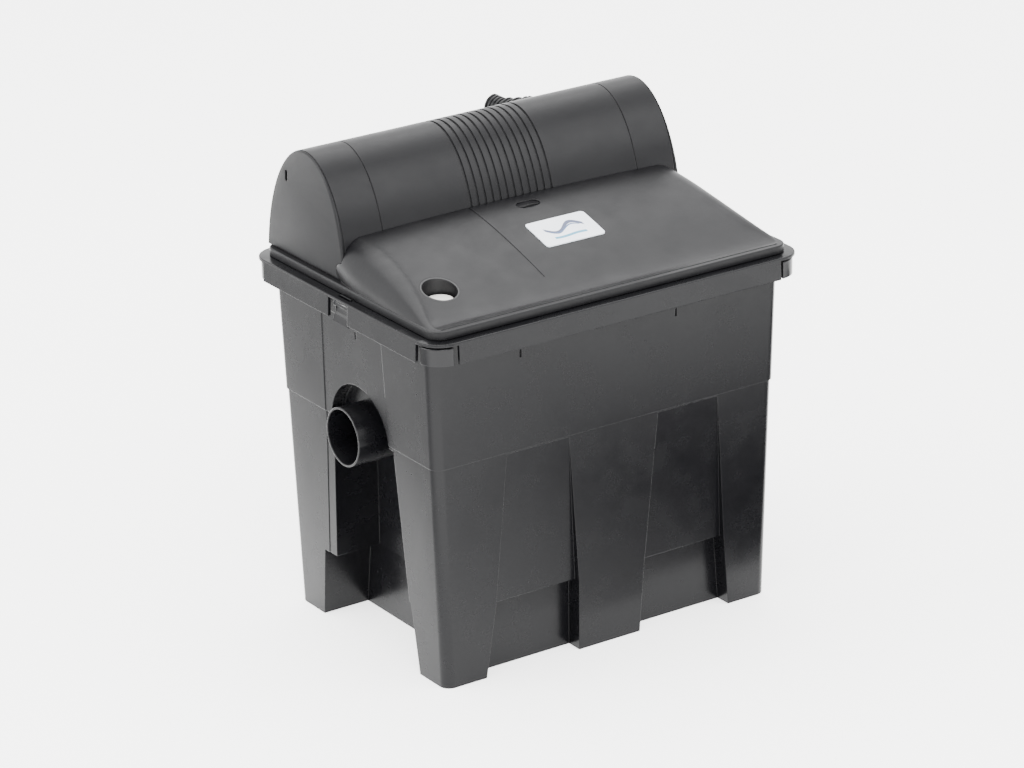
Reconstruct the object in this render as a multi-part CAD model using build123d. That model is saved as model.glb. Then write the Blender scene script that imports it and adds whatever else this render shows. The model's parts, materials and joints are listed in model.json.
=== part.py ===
"""Box pond filter with a lamp hood: every piece of the assembly, one STEP file each.

Frame: millimetres, +Z up, the long front face towards -Y, the outlet end towards -X.
The origin is on the floor under the middle of the container.
"""
from build123d import *
import math
import os

# ---------------------------------------------------------------- driving dimensions
# Container
RIM_LENGTH = 364.8          # outside of the skirt, along X
RIM_WIDTH = 276.6           # outside of the skirt, along Y
RIM_CORNER = 21.8
RIM_Z = 308.8               # top face of the rim
RIM_PLATE = 3.0
SKIRT_DEPTH = 18.3
SKIRT_WALL = 2.6
SKIRT_FLARE = 0.8           # the skirt leans out by this much at its lower edge
BODY_LENGTH = 344.1         # body just under the rim
BODY_WIDTH = 236.5
BODY_CORNER = 9.0
DRAFT_X = 0.0305            # loss of half length per millimetre of height
DRAFT_Y = 0.0153
WALL = 3.4
STEP_Z = 194.0              # the lower body steps in here
STEP_INSET = 1.0
SPLIT_Z = 62.0              # the wall recesses deepen below this height

# Recesses in the long walls: half widths at the step, at the split and at the floor
PIER_MIDDLE = (44.0, 32.8, 30.5)
PIER_CORNER = (104.5, 114.5, 122.0)
PIER_SHIFT = (5.0, 2.5, 0.0)        # the piers lean towards +X at their tops
WALL_RECESS_TOP = 0.4
WALL_RECESS_SPLIT = 6.2
WALL_RECESS_FOOT = 15.0

# Recess in each end wall
END_FOOT_HALF = (66.0, 74.0)        # half width at the split and at the floor
END_NEAR = (53.0, 64.0)             # front edge of the upper part, at its top and at the split
END_FAR = (38.0, 48.0)              # rear edge of the upper part
END_BACK = (126.0, 121.0, 118.5)    # distance of the back wall from the middle: top, split, floor
END_LEDGE_Z = 191.0                 # top of the deep part
ARCH_HALF = 42.0
ARCH_MIDDLE_Y = -4.0
ARCH_TOP_Z = 232.0
ARCH_SPRING_Z = 200.0
ARCH_DEPTH = 11.5
PANEL_INSET = 0.5
PANEL_HALF = (45.0, 48.5, 59.0, 70.0)    # half widths at the skirt, the step, the split, the floor

# Corner blocks and latch windows of the skirt
CORNER_CUT_X = 25.4         # cut-out length along the front, from the skirt's corner
CORNER_CUT_Y = 23.3
CORNER_SLOT = 3.8
CORNER_BLOCK_INSET = 1.8
CORNER_BLOCK_DROP = 0.6     # the block reaches this far below the skirt
CORNER_GAP = 1.2
TICK_X = (-86.0, 66.0)
TICK_Y = -6.0
TICK_Z = (273.5, 280.0)
TICK_WIDTH = 1.8
TICK_DEPTH = 1.6
LATCH_WINDOW = 29.0
LATCH_WINDOW_TOP = 1.6      # skirt left above the window
LATCH_WIDTH = 23.0
LATCH_PIN_R = 1.5
LATCH_SHIFT = -2.0          # the tab stands off-centre in its window
LATCH_PIN_IN = 6.8          # pin axis, in from the skirt's face
LATCH_PIN_DOWN = 6.2        # pin axis, down from the rim's face
LATCH_LUG = 3.0
LATCH_TAB = 2.2

# Outlet
OUTLET_R = 25.0
OUTLET_BORE_R = 23.2
OUTLET_SEAT_R = 24.5        # where the pipe passes through the wall
OUTLET_Z = 189.5
OUTLET_BOSS_WALL = 8.0
OUTLET_BOSS_X = -117.0      # inner face of the boss
OUTLET_GASKET = 2.5
OUTLET_NUT_LENGTH = 9.0
OUTLET_NUT_WALL = 7.5

# Drain
DRAIN_R = 16.0
DRAIN_BORE_R = 12.5
DRAIN_Z = 32.0
DRAIN_STUB = 30.0
DRAIN_CAP_WALL = 3.0
DRAIN_CAP_LENGTH = 16.0
DRAIN_GASKET = 1.5

# Lid
LID_INSET = 9.0             # lid edge, in from the skirt's face
LID_Z = 316.0               # top face of the lid's flange
LID_PLATE = 3.2
LID_EDGE = 2.4
LID_EDGE_Z = 309.2
LID_WALL = 2.6
LID_RIB_DEPTH = 9.0
LID_RIB_WALL = 2.0
SEAL_WIDTH = 2.0
REST_GAP = 0.3              # between bodies that rest on each other

# Dome on the front of the lid
DOME_FRONT_Y = -110.0
DOME_START_Y = -124.0
DOME_INNER_Y = -104.0
DOME_STATIONS = 8
DOME_EASE = 2.4             # how softly the dome grows out of the flange
DOME_REAR_Y = 26.0           # inside the space of the lamp hood, which is cut away
DOME_INNER_REAR = 10.7
DOME_RISE = 35.5            # above the flange, where the dome would meet the lamp hood
DOME_RUN = 134.0
DOME_POWER = 1.35
DOME_CROWN = 2.5
DOME_FOOT_X = 172.0
DOME_CREASE_X = 141.5
DOME_CREASE_FLARE = 23.0
DOME_FLARE_POWER = 2.25
DOME_SPREAD = 7.0            # how far the creases spread where the dome meets the lamp hood
DOME_TUCK = 4.0              # how far the feet of the cheeks come in there
DOME_SPREAD_Y = -20.0
DOME_SPREAD_RUN = 40.0
DOME_GROOVE_X = -43.0

# Lamp hood
HOOD_Y = 73.0
HOOD_A = 58.8
HOOD_B = 99.7
HOOD_SPRING_Z = 310.3
HOOD_HALF = 168.0
HOOD_DRAFT = 0.035
HOOD_WALL = 2.6
HOOD_FILLET = 2.0
HOOD_CLEAR = 0.5
RIB_COUNT = 12
RIB_PITCH = 7.2
RIB_GROOVE = 2.3
RIB_DEPTH = 1.2
SEAM_X = (126.0, 163.5)
SEAM_WIDTH = 0.9
SEAM_DEPTH = 0.7
HOOD_SLOT_Y = 101.0
HOOD_SLOT_Z = 382.5

# Lamp unit under the hood
LAMP_Y = 73.0
LAMP_Z = 350.0
HOUSING_R = 31.0
HOUSING_WALL = 3.0
HOUSING_X = (-98.0, 160.0)
QUARTZ_R = 11.5
QUARTZ_WALL = 1.5
TUBE_R = 7.5
HEAD_R = 34.0
HEAD_LENGTH = 44.0
SPOUT_X = -70.0
SPOUT_R = 18.0
SPOUT_WALL = 2.5
SPOUT_Z = 286.0
SADDLE_X = (-15.0, 95.0)
SADDLE_LENGTH = 14.0

# Inlet: a straight port on the lamp unit, along a slightly turned axis
INLET_X = 132.3
INLET_Z = 346.0
INLET_TURN = 12.0           # degrees away from +Y, towards -X
INLET_RISE = 7.0            # degrees upwards
INLET_R = 15.0
INLET_BORE_R = 12.0
THREAD_R = 17.0
THREAD_START = 77.0
THREAD_END = 89.0
NUT_R = 20.5
NUT_START = 80.0
NUT_END = 98.0
TAIL_STEPS = ((98.4, 16.0, 10.0), (108.4, 12.5, 10.0), (118.4, 10.0, 17.0))
TAIL_WALL = 2.2
TAIL_RING = 1.7
TAIL_PITCH = 3.5
TAIL_COLLAR = (90.0, 94.5)
TAIL_COLLAR_R = 16.7
INLET_SLOT_X = 119.8
INLET_SLOT_Z = 353.0
INLET_SLOT_R = 20.0
RUN_GAP = 0.05              # radial clearance of a running fit

# Cable gland on the lamp head
GLAND_X = -122.0
GLAND_R = 8.0
GLAND_BORE_R = 3.6
GLAND_END_Y = 141.0
GLAND_BOSS = 1.5

# Indicator in the dome
WELL_X = -132.3
WELL_Y = -73.8
WELL_R = 15.8
WELL_WALL = 1.4
WELL_FLOOR_Z = 303.0
FLOAT_DISC_R = 11.0
FLOAT_DISC_Z = 320.0
FLOAT_ROD_R = 1.5
FLOAT_BODY_R = 10.5

# Catch of the lamp hood and label
CATCH_X = 5.0
CATCH_Y = 3.5
CATCH_LENGTH = 21.0
CATCH_WIDTH = 9.0
CATCH_CROWN_R = 40.0
LABEL_X = 10.7
LABEL_Y = -41.7
LABEL_LENGTH = 57.5
LABEL_WIDTH = 33.8
LABEL_CORNER = 3.0
LABEL_THICK = 0.8

# Filter media
FLOOR_Z = WALL
GRATE_Z = 22.0
GRATE_PLATE = 3.0
GRATE_HALF_X = 106.0
GRATE_HALF_Y = 92.5
FOAM_COUNT = 4
FOAM_SHIFT = 16.0           # the pads stand off-centre, away from the outlet
FOAM_THICK = 40.0
FOAM_PITCH = 43.0
FOAM_WIDTH = 176.0
FOAM_HEIGHT = 165.0
RETAINER_PLATE = 2.4
ROD_R = 4.0
ROD_Y = 52.0
ROD_GAP = 0.3
HANDLE_RISE = 26.0
TRAY_Z = 246.0
TRAY_PLATE = 2.4
TRAY_EDGE = 10.0
BAFFLE_PLATE = 2.4
LEDGE = 5.0                 # ledges in the tub that carry the tray

OUT = "parts"


# ---------------------------------------------------------------- shared helpers
def half_x(z):
    """Half length of the container's outer wall at height z."""
    inset = STEP_INSET if z < STEP_Z else 0.0
    return BODY_LENGTH / 2 - (RIM_Z - z) * DRAFT_X - inset


def half_y(z):
    """Half width of the container's outer wall at height z."""
    inset = STEP_INSET if z < STEP_Z else 0.0
    return BODY_WIDTH / 2 - (RIM_Z - z) * DRAFT_Y - inset


def rounded(z, hx, hy, r):
    """Rounded rectangle, level at height z."""
    return Pos(0, 0, z) * RectangleRounded(2 * hx, 2 * hy, r)


def slab(z0, z1, hx, hy, r):
    """Level rounded plate from z0 to z1."""
    return extrude(rounded(z0, hx, hy, r), z1 - z0)


def ring(z0, z1, hx, hy, r, wall):
    """Level rounded frame, wall thick."""
    return slab(z0, z1, hx, hy, r) - slab(z0 - 1, z1 + 1, hx - wall, hy - wall, max(r - wall, 0.5))


def rect_at(z, x0, x1, y0, y1):
    """Level rectangle from its corner coordinates."""
    return Pos((x0 + x1) / 2, (y0 + y1) / 2, z) * Rectangle(x1 - x0, y1 - y0)


def prismoid(z0, low, z1, high):
    """Straight-sided solid between two level rectangles (x0, x1, y0, y1)."""
    return loft([rect_at(z0, *low), rect_at(z1, *high)])


def block(x0, x1, y0, y1, z0, z1):
    """Box from its corner coordinates."""
    return Pos((x0 + x1) / 2, (y0 + y1) / 2, (z0 + z1) / 2) * Box(x1 - x0, y1 - y0, z1 - z0)


def rod(start, end, r):
    """Round bar between two points."""
    a = Vector(*start)
    b = Vector(*end)
    return extrude(Plane(origin=a, z_dir=(b - a).normalized()) * Circle(r), (b - a).length)


def tube(start, end, r, bore):
    """Round tube between two points."""
    a = Vector(*start)
    b = Vector(*end)
    plane = Plane(origin=a, z_dir=(b - a).normalized())
    return extrude(plane * (Circle(r) - Circle(bore)), (b - a).length)


def both_ends(shape):
    """A shape and its mirror image across the middle of the length."""
    return [shape, mirror(shape, about=Plane.YZ)]


def both_sides(shape):
    """A shape and its mirror image across the middle of the width."""
    return [shape, mirror(shape, about=Plane.XZ)]


# ---------------------------------------------------------------- container
def body_solid(inset, z0):
    """Drafted body, from z0 to the rim's top, pulled in by inset on every side."""
    r = max(BODY_CORNER - inset, 2.0)
    below = STEP_Z - 0.001
    low = loft([rounded(z0, half_x(z0) - inset, half_y(z0) - inset, r),
                rounded(STEP_Z, half_x(below) - inset, half_y(below) - inset, r)])
    high = loft([rounded(STEP_Z, half_x(STEP_Z) - inset, half_y(STEP_Z) - inset, r),
                 rounded(RIM_Z, half_x(RIM_Z) - inset, half_y(RIM_Z) - inset, r)])
    return low + high


def wall_recess(grow, side):
    """One recess of the front wall, drawn on +X and mirrored if side is -1; grow adds a wall."""
    out = -RIM_WIDTH / 2
    top, split, foot = STEP_Z - 1.5, SPLIT_Z, -1.0

    def section(index, depth, z):
        lean = side * PIER_SHIFT[index]
        return (PIER_MIDDLE[index] + lean - grow, PIER_CORNER[index] + lean + grow,
                out, -half_y(z) + depth + grow)

    upper = prismoid(split, section(1, WALL_RECESS_SPLIT, split), top + grow,
                     section(0, WALL_RECESS_TOP, top))
    lower = prismoid(foot, section(2, WALL_RECESS_FOOT, 0), split + grow,
                     section(1, WALL_RECESS_FOOT, split))
    solid = upper + lower
    return solid if side > 0 else mirror(solid, about=Plane.YZ)


def end_recess(grow):
    """The deep recess of the outlet end, with the arched pocket above it."""
    out = -RIM_LENGTH / 2
    foot = prismoid(-1.0, (out, -END_BACK[2] + grow, -END_FOOT_HALF[1] - grow, END_FOOT_HALF[1] + grow),
                    SPLIT_Z + grow, (out, -END_BACK[2] + grow, -END_FOOT_HALF[0] - grow,
                                     END_FOOT_HALF[0] + grow))
    shaft = prismoid(SPLIT_Z - 1, (out, -END_BACK[1] + grow, -END_NEAR[1] - grow, END_FAR[1] + grow),
                     END_LEDGE_Z + grow, (out, -END_BACK[0] + grow, -END_NEAR[0] - grow,
                                          END_FAR[0] + grow))
    return foot + shaft + arch_pocket(grow)


def arch_pocket(grow):
    """Shallow arched pocket above the recess, around the outlet."""
    depth = -half_x(END_LEDGE_Z) + ARCH_DEPTH + grow
    half = ARCH_HALF + grow
    left, right = ARCH_MIDDLE_Y - half, ARCH_MIDDLE_Y + half
    base = END_LEDGE_Z - 2
    plane = Plane(origin=(-RIM_LENGTH / 2, 0, 0), x_dir=(0, 1, 0), z_dir=(1, 0, 0))
    outline = [Line((left, base), (right, base)),
               Line((right, base), (right, ARCH_SPRING_Z)),
               ThreePointArc((right, ARCH_SPRING_Z), (ARCH_MIDDLE_Y, ARCH_TOP_Z + grow),
                             (left, ARCH_SPRING_Z)),
               Line((left, ARCH_SPRING_Z), (left, base))]
    return extrude(plane * make_face(Wire(outline)), depth + RIM_LENGTH / 2)


def end_panel():
    """Shallow inset panel over the full height of an end wall."""
    heights = (RIM_Z - SKIRT_DEPTH - 3, STEP_Z, SPLIT_Z, -1.0)
    solid = None
    for k in range(3):
        z1, z0 = heights[k], heights[k + 1]
        upper = (-RIM_LENGTH / 2, -half_x(z1 - 0.01) + PANEL_INSET, -PANEL_HALF[k], PANEL_HALF[k])
        lower = (-RIM_LENGTH / 2, -half_x(z0 + 0.01) + PANEL_INSET, -PANEL_HALF[k + 1],
                 PANEL_HALF[k + 1])
        piece = prismoid(z0, lower, z1, upper)
        solid = piece if solid is None else solid + piece
    return solid


def skirt():
    """Flat rim with the turned-down skirt around it."""
    hx, hy = RIM_LENGTH / 2, RIM_WIDTH / 2
    foot = RIM_Z - SKIRT_DEPTH
    lean = SKIRT_FLARE
    shell = loft([rounded(foot, hx + lean, hy + lean, RIM_CORNER + lean),
                  rounded(RIM_Z, hx, hy, RIM_CORNER)])
    shell = fillet(shell.faces().sort_by(Axis.Z)[-1].edges(), 0.9)
    w = SKIRT_WALL
    hollow = loft([rounded(foot - 1, hx + lean - w, hy + lean - w, RIM_CORNER + lean - w),
                   rounded(RIM_Z - RIM_PLATE, hx - w, hy - w, RIM_CORNER - w)])
    return shell - hollow


def corner_cutters():
    """Cut-outs through the skirt at its four corners."""
    hx, hy = RIM_LENGTH / 2 + 2, RIM_WIDTH / 2 + 2
    z0, z1 = RIM_Z - SKIRT_DEPTH - 2, RIM_Z - RIM_PLATE + 0.6
    cut = block(-hx, -RIM_LENGTH / 2 + CORNER_CUT_X, -hy, -RIM_WIDTH / 2 + CORNER_CUT_Y, z0, z1)
    deep = SKIRT_WALL + 10
    keep = block(-RIM_LENGTH / 2 + deep, 0, -RIM_WIDTH / 2 + deep, 0, z0 - 1, z1 + 1)
    one = cut - keep
    return [s for end in both_ends(one) for s in both_sides(end)]


def corner_blocks():
    """Rounded blocks that stand in the skirt's corner cut-outs."""
    hx, hy = RIM_LENGTH / 2 - CORNER_BLOCK_INSET, RIM_WIDTH / 2 - CORNER_BLOCK_INSET
    z0, z1 = RIM_Z - SKIRT_DEPTH - CORNER_BLOCK_DROP, RIM_Z - RIM_PLATE - CORNER_GAP
    outer = slab(z0, z1, hx, hy, RIM_CORNER - CORNER_BLOCK_INSET)
    outer = fillet(outer.faces().sort_by(Axis.Z)[-1].edges(), 1.2)
    reach_x = -RIM_LENGTH / 2 + CORNER_CUT_X - CORNER_SLOT
    reach_y = -RIM_WIDTH / 2 + CORNER_CUT_Y - CORNER_SLOT
    window = block(-RIM_LENGTH, reach_x, -RIM_WIDTH, reach_y, z0 - 1, z1 + 1)
    one = (outer & window) - body_solid(0.0, 0.0)
    return [s for end in both_ends(one) for s in both_sides(end)]


def corner_caps():
    """The four corner blocks, as one node."""
    return Compound(children=corner_blocks())


def wall_ticks():
    """Small drain slots in the walls, just under the skirt."""
    z0, z1 = TICK_Z
    w = TICK_WIDTH / 2
    marks = [block(x - w, x + w, -BODY_WIDTH, -half_y(z0) + TICK_DEPTH, z0, z1) for x in TICK_X]
    for mark in marks[:]:
        marks.append(mirror(mark, about=Plane.XZ))
    end = block(-BODY_LENGTH, -half_x(z0) + TICK_DEPTH, TICK_Y - w, TICK_Y + w, z0, z1)
    return marks + both_ends(end)


def latch_lugs():
    """Pairs of lugs under the rim that carry the latch pins."""
    x = -RIM_LENGTH / 2 + LATCH_PIN_IN
    z = RIM_Z - LATCH_PIN_DOWN
    inner = LATCH_WIDTH / 2 + REST_GAP
    one = block(x - 3.0, x + 3.4, inner, inner + LATCH_LUG, z - 3.2, RIM_Z - RIM_PLATE + 0.5)
    one = one - rod((x, inner - 1, z), (x, inner + LATCH_LUG + 1, z), LATCH_PIN_R)
    return [Pos(0, LATCH_SHIFT, 0) * s for side in both_sides(one) for s in both_ends(side)]


def tray_ledges():
    """Small ledges on the long inner walls that carry the tray."""
    y = half_y(TRAY_Z) - WALL
    one = block(70, 90, -y - 0.5, -y + LEDGE, TRAY_Z - 4, TRAY_Z)
    return [s for side in both_sides(one) for s in both_ends(side)]


def latch_openings():
    """Window in the skirt and slot in the rim for each latch."""
    hx = RIM_LENGTH / 2
    window = block(-hx - 3, -hx + SKIRT_WALL + 1.0, -LATCH_WINDOW / 2, LATCH_WINDOW / 2,
                   RIM_Z - SKIRT_DEPTH - 2, RIM_Z - LATCH_WINDOW_TOP)
    px = -hx + LATCH_PIN_IN
    slot = block(px - 2.3, px + 1.7, LATCH_SHIFT - LATCH_WIDTH / 2 + 3, LATCH_SHIFT + LATCH_WIDTH / 2 - 3,
                 RIM_Z - RIM_PLATE - 1, RIM_Z + 1)
    return both_ends(window) + both_ends(slot)


def outlet_wall_x():
    """Inner face of the boss that carries the outlet."""
    return OUTLET_BOSS_X


def drain_wall_x():
    """Back wall of the recess at the drain, on the far end."""
    return END_BACK[2]


def container():
    """Tub with its rim, skirt, recesses, outlet boss and corner blocks."""
    outer = body_solid(0.0, 0.0)
    inner = body_solid(WALL, FLOOR_Z)
    inner = inner + slab(RIM_Z - 1, RIM_Z + 1, half_x(RIM_Z) - WALL, half_y(RIM_Z) - WALL,
                         BODY_CORNER - WALL)
    for cut in both_ends(end_panel()):
        outer = outer - cut
    for grow in (0.0, WALL):
        cutters = []
        for end in (-1, 1):
            cutters += both_sides(wall_recess(grow, end))
        cutters += both_ends(end_recess(grow))
        for cut in cutters:
            if grow:
                inner = inner - cut
            else:
                outer = outer - cut
    rim = skirt()
    for cut in corner_cutters() + latch_openings():
        rim = rim - cut
    solid = outer + rim
    for extra in latch_lugs():
        solid = solid + extra
    for cut in wall_ticks():
        solid = solid - cut
    face = -END_BACK[0] - 0.5
    boss = rod((face, 0, OUTLET_Z), (outlet_wall_x(), 0, OUTLET_Z), OUTLET_R + OUTLET_BOSS_WALL)
    solid = (solid - inner) + boss
    for ledge in tray_ledges():
        solid = solid + ledge
    solid = solid - rod((-RIM_LENGTH / 2, 0, OUTLET_Z), (outlet_wall_x() + 2, 0, OUTLET_Z), OUTLET_SEAT_R)
    x = drain_wall_x()
    solid = solid - rod((x - WALL - 8, 0, DRAIN_Z), (x + 8, 0, DRAIN_Z), DRAIN_R)
    return solid


def latch(side):
    """Sprung latch tab behind the skirt's window; side is -1 or 1 along X."""
    hx = RIM_LENGTH / 2
    px, pz = -hx + LATCH_PIN_IN, RIM_Z - LATCH_PIN_DOWN
    foot = RIM_Z - SKIRT_DEPTH - 2.2
    plane = Plane(origin=(0, LATCH_WIDTH / 2, 0), x_dir=(1, 0, 0), z_dir=(0, -1, 0))
    head = RIM_Z - RIM_PLATE - 0.4
    path = [(-hx + 1.6, head), (-hx + 3.6, pz - 6.0), (-hx + 0.2, foot)]
    front = ThreePointArc(*path)
    back = ThreePointArc((path[2][0] + 1.6, foot - 0.8), (path[1][0] + LATCH_TAB, path[1][1]),
                         (path[0][0] + LATCH_TAB, path[0][1]))
    leaf = extrude(plane * make_face(Wire([front, Line(front @ 1, back @ 0), back,
                                           Line(back @ 1, front @ 0)])), LATCH_WIDTH)
    barrel = rod((px, -LATCH_WIDTH / 2, pz), (px, LATCH_WIDTH / 2, pz), LATCH_PIN_R + 1.5)
    arm = block(-hx + 2.4, px, -LATCH_WIDTH / 2, LATCH_WIDTH / 2, pz - 1.4, pz + 1.4)
    nose = block(px - 0.5, px + 1.3, -LATCH_WIDTH / 2 + 3.6, LATCH_WIDTH / 2 - 3.6, pz, RIM_Z + 0.9)
    solid = leaf + barrel + arm + nose
    solid = solid - rod((px, -LATCH_WIDTH, pz), (px, LATCH_WIDTH, pz), LATCH_PIN_R + RUN_GAP)
    solid = Pos(0, LATCH_SHIFT, 0) * solid
    return solid if side < 0 else mirror(solid, about=Plane.YZ)


def latch_pin(side):
    """Pin of one latch, held in its two lugs."""
    x = side * (RIM_LENGTH / 2 - LATCH_PIN_IN)
    z = RIM_Z - LATCH_PIN_DOWN
    reach = LATCH_WIDTH / 2 + REST_GAP + LATCH_LUG
    return rod((x, LATCH_SHIFT - reach, z), (x, LATCH_SHIFT + reach, z), LATCH_PIN_R)


# ---------------------------------------------------------------- outlet and drain
def outlet_pipe():
    """Outlet stub with its inner thread length and a stop collar inside the boss."""
    x1 = outlet_wall_x() + OUTLET_GASKET + OUTLET_NUT_LENGTH + 2
    shoulder = -half_x(END_LEDGE_Z) + ARCH_DEPTH
    pipe = tube((-RIM_LENGTH / 2, 0, OUTLET_Z), (shoulder, 0, OUTLET_Z), OUTLET_R, OUTLET_BORE_R)
    pipe = pipe + tube((shoulder, 0, OUTLET_Z), (x1, 0, OUTLET_Z), OUTLET_SEAT_R, OUTLET_BORE_R)
    mouth = pipe.edges().group_by(Axis.X)[0]
    return fillet(mouth, 0.5)


def outlet_gasket():
    """Flat rubber ring between the wall and the lock nut."""
    x = outlet_wall_x()
    return tube((x, 0, OUTLET_Z), (x + OUTLET_GASKET, 0, OUTLET_Z), OUTLET_R + 5.0, OUTLET_SEAT_R)


def outlet_lock_nut():
    """Ring nut inside the container, with six grips."""
    x = outlet_wall_x() + OUTLET_GASKET
    r = OUTLET_R + OUTLET_NUT_WALL
    nut = tube((x, 0, OUTLET_Z), (x + OUTLET_NUT_LENGTH, 0, OUTLET_Z), r, OUTLET_SEAT_R)
    for k in range(12):
        a = math.radians(30 * k + 15)
        y, z = r * math.cos(a), OUTLET_Z + r * math.sin(a)
        nut = nut - rod((x + 2.5, y, z), (x + OUTLET_NUT_LENGTH + 1, y, z), 2.6)
    return nut


def drain_socket():
    """Drain stub through the back wall of the far recess."""
    x = drain_wall_x()
    stub = tube((x - WALL - 6, 0, DRAIN_Z), (x + DRAIN_STUB, 0, DRAIN_Z), DRAIN_R, DRAIN_BORE_R)
    collar = tube((x, 0, DRAIN_Z), (x + 4.2, 0, DRAIN_Z), DRAIN_R + 5, DRAIN_R - 0.5)
    return stub + collar


def drain_gasket():
    """Flat rubber disc ring on the drain stub's mouth."""
    x = drain_wall_x() + DRAIN_STUB
    return tube((x, 0, DRAIN_Z), (x + DRAIN_GASKET, 0, DRAIN_Z), DRAIN_R, DRAIN_BORE_R)


def drain_cap():
    """Screw cap over the drain, with grip flutes and a bar across it."""
    mouth = drain_wall_x() + DRAIN_STUB + DRAIN_GASKET + REST_GAP
    r = DRAIN_R + RUN_GAP + DRAIN_CAP_WALL
    x0 = mouth + 3.0 - DRAIN_CAP_LENGTH
    cap = rod((x0, 0, DRAIN_Z), (mouth + 3.0, 0, DRAIN_Z), r)
    cap = fillet(cap.edges().group_by(Axis.X)[-1], 1.0)
    cap = cap - rod((x0 - 1, 0, DRAIN_Z), (mouth, 0, DRAIN_Z), DRAIN_R + RUN_GAP)
    for k in range(16):
        a = math.radians(22.5 * k)
        y, z = (r + 0.7) * math.cos(a), DRAIN_Z + (r + 0.7) * math.sin(a)
        cap = cap - rod((x0 - 1, y, z), (mouth + 1.0, y, z), 1.5)
    grip = block(mouth + 2.0, mouth + 7.0, -r + 5, r - 5, DRAIN_Z - 2, DRAIN_Z + 2)
    return cap + grip


# ---------------------------------------------------------------- lid
def dome_height(y):
    """Top of the dome's middle line at y."""
    share = min((y - DOME_FRONT_Y) / DOME_RUN, 1.0)
    raw = DOME_RISE * (1 - (1 - share) ** DOME_POWER) + 0.4
    return LID_Z + 0.05 + (raw + math.sqrt(raw ** 2 + DOME_EASE ** 2)) / 2


def dome_section(y, inset, base):
    """Cross-section of the dome at y: rounded cheeks and a slightly crowned top."""
    share = max((y - DOME_FRONT_Y) / (4.0 - DOME_FRONT_Y), 0.0)
    early = max((-104.0 - y) / 20.0, 0.0)
    late = max((y - DOME_SPREAD_Y) / DOME_SPREAD_RUN, 0.0) ** 2
    foot = DOME_FOOT_X - inset - 7.0 * early ** 2 - DOME_TUCK * late
    flare = DOME_CREASE_FLARE * abs(1 - share) ** DOME_FLARE_POWER + DOME_SPREAD * late
    crease = min(DOME_CREASE_X + flare - inset, foot - 4.0)
    top = dome_height(y) - inset
    crown = DOME_CROWN * min(1.0, (dome_height(y) - LID_Z) / DOME_RISE)
    edge = max(top - crown, LID_Z - inset + 0.02)
    low = LID_Z - inset - 0.4
    bulge_x = crease + (foot - crease) * 0.80
    bulge_z = low + (edge - low) * 0.68
    plane = Plane(origin=(0, y, 0), x_dir=(1, 0, 0), z_dir=(0, -1, 0))
    outline = [Line((-foot, base), (foot, base)),
               Line((foot, base), (foot, low)),
               ThreePointArc((foot, low), (bulge_x, bulge_z), (crease, edge)),
               ThreePointArc((crease, edge), (0, top), (-crease, edge)),
               ThreePointArc((-crease, edge), (-bulge_x, bulge_z), (-foot, low)),
               Line((-foot, low), (-foot, base))]
    return plane * make_face(Wire(outline))


def dome_solid(inset, base):
    """Main volume of the dome, lofted from front to rear; the inner one starts further back."""
    front = DOME_START_Y if inset == 0 else DOME_INNER_Y
    rear = DOME_REAR_Y if inset == 0 else DOME_INNER_REAR
    step = (rear - front) / DOME_STATIONS
    return loft([dome_section(front + step * k, inset, base) for k in range(DOME_STATIONS + 1)])


def hood_envelope(grow):
    """Outer volume of the lamp hood, grown by a clearance or shrunk by a wall."""
    plane = Plane(origin=(-HOOD_HALF - 10, 0, 0), x_dir=(0, 1, 0), z_dir=(1, 0, 0))
    oval = Pos(HOOD_Y, HOOD_SPRING_Z) * Ellipse(HOOD_A + grow, HOOD_B + grow)
    length = 2 * HOOD_HALF + 20
    arch = extrude(plane * oval, length)
    base = LID_Z + REST_GAP - (0.0 if grow == 0 else 6.0)
    top = HOOD_SPRING_Z + HOOD_B + 5
    lean = (top - base) * HOOD_DRAFT
    half = HOOD_HALF + grow - (base - LID_Z) * HOOD_DRAFT
    wedge = prismoid(base, (-half, half, -100, 200), top, (-half + lean, half - lean, -100, 200))
    return arch & wedge


def dome_groove():
    """Fine mould line that runs down the dome's slope."""
    strip = block(DOME_GROOVE_X - 0.35, DOME_GROOVE_X + 0.35, DOME_FRONT_Y + 20, HOOD_Y, LID_Z, LID_Z + 60)
    return strip - Pos(0, 0, -0.5) * dome_solid(0.0, LID_Z - 10)


def catch_outline(grow, z0, z1):
    """Oval prism for the hood catch and its scoop."""
    oval = Pos(CATCH_X, CATCH_Y, z0) * SlotOverall(CATCH_LENGTH + 2 * grow, CATCH_WIDTH + 2 * grow)
    return extrude(oval, z1 - z0)


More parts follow.
